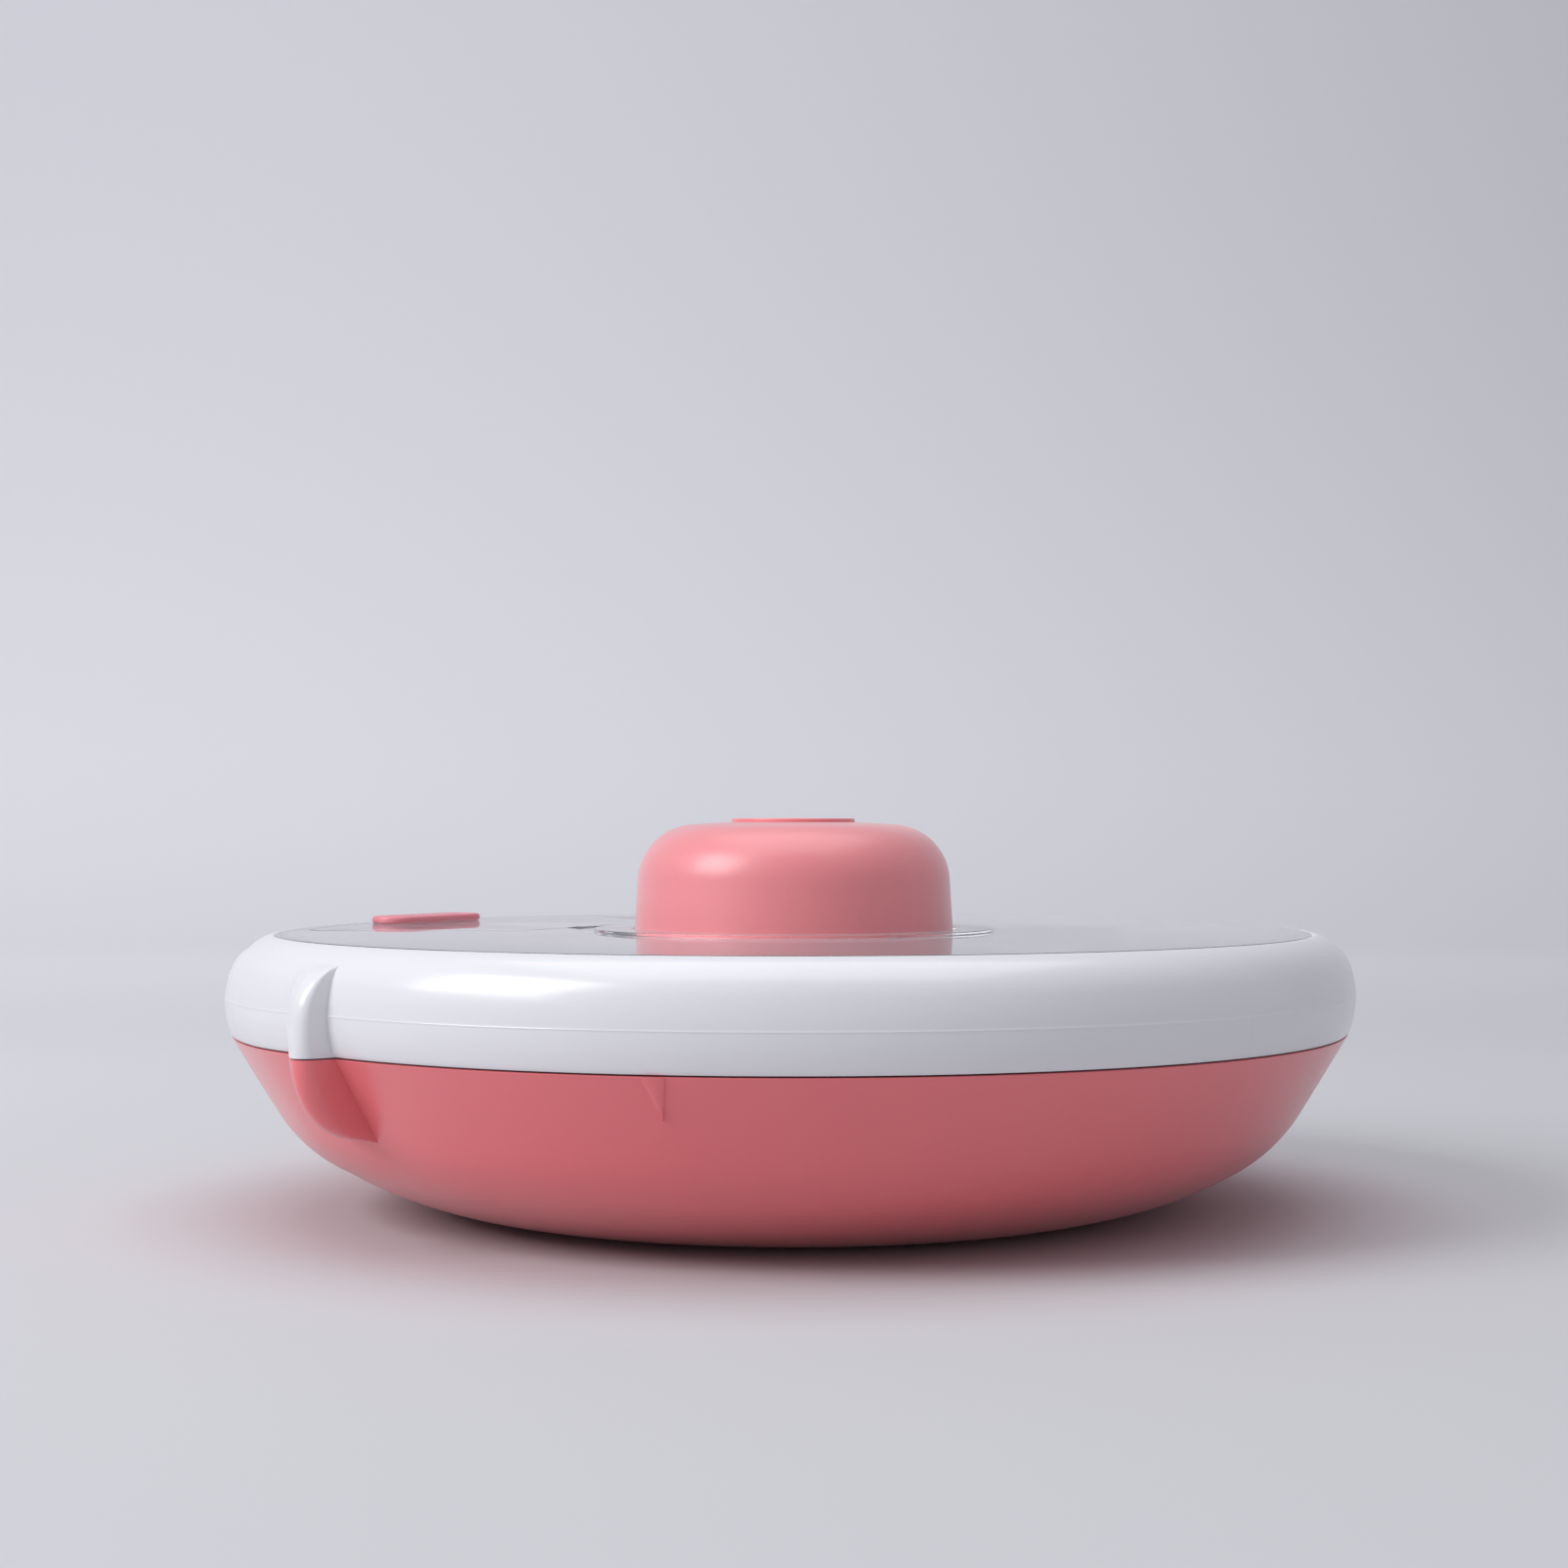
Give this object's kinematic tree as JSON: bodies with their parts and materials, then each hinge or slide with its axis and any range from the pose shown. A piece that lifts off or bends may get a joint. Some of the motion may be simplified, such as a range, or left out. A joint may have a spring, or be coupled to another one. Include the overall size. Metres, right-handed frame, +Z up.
{
  "type": "snack spinner",
  "caption": "Round snack container with a twist-off lid, clear window, flip-up door and a push button that indexes an inner tray of wedge compartments.",
  "frame": {"origin": "centre of the flat base that the bowl stands on", "axes": "+Z up along the spin axis; +Y away from the front, where the small raised triangle and the first thumb fin are; +X to the right of that front view"},
  "size_m": [0.1892, 0.1892, 0.0658],
  "materials": {
    "bowl_pink": "satin-gloss moulded pink plastic",
    "button_pink": "satin moulded pink plastic",
    "tab_pink": "satin moulded pink plastic",
    "lid_white": "gloss moulded white plastic",
    "tray_white": "satin moulded white plastic",
    "mechanism_white": "satin moulded white plastic",
    "window_clear": "clear gloss plastic",
    "door_clear": "clear gloss plastic",
    "seal": "translucent silicone",
    "washer": "natural acetal",
    "screw_steel": "zinc-plated steel",
    "pin_steel": "stainless steel",
    "spring_steel": "spring steel"
  },
  "bodies": {
    "base": {"outer_bowl": "bowl_pink", "thrust_washer": "washer"},
    "tray": {"snack_tray": "tray_white", "tray_crown": "mechanism_white"},
    "seal": {"lid_seal": "seal"},
    "lid": {"lid_ring": "lid_white", "lid_window": "window_clear", "mechanism_housing": "mechanism_white", "housing_screws": "screw_steel", "rotor_washer": "washer", "hinge_pin": "pin_steel"},
    "door": {"door_panel": "door_clear", "door_tab": "tab_pink"},
    "button": {"button_cap": "button_pink", "plunger": "mechanism_white", "cap_screw": "screw_steel", "return_spring": "spring_steel"},
    "rotor": {"drive_rotor": "mechanism_white", "ratchet_crown": "mechanism_white", "crown_spring": "spring_steel", "crown_clip": "spring_steel"}
  },
  "joints": [
    {"name": "lid_lift", "type": "slide", "parent": "base", "child": "seal", "axis": [0, 0, 1], "range_m": [0, 0.06]},
    {"name": "lid_twist", "type": "hinge", "parent": "seal", "child": "lid", "pos_m": [0, 0, 0.03], "axis": [0, 0, 1], "range_deg": [0, 20]},
    {"name": "door_open", "type": "hinge", "parent": "lid", "child": "door", "pos_m": [-0.03291, 0.019, 0.0455], "axis": [0.5, 0.866, 0], "range_deg": [0, 105]},
    {"name": "tray_spin", "type": "hinge", "parent": "base", "child": "tray", "pos_m": [0, 0, 0.004], "axis": [0, 0, -1], "range_deg": [0, 72]},
    {"name": "button_press", "type": "slide", "parent": "lid", "child": "button", "axis": [0, 0, -1], "range_m": [0, 0.009], "stiffness_N_per_m": 120, "springref_m": -0.008, "deforming": ["return_spring"]},
    {"name": "driver_spin", "type": "hinge", "parent": "lid", "child": "rotor", "pos_m": [0, 0, 0.03], "axis": [0, 0, -1], "range_deg": [0, 72]}
  ],
  "couplings": [
    {"joint": "button_press", "follows": "tray_spin", "m_per_rad": 0.007162},
    {"joint": "driver_spin", "follows": "tray_spin", "ratio": 1}
  ]
}
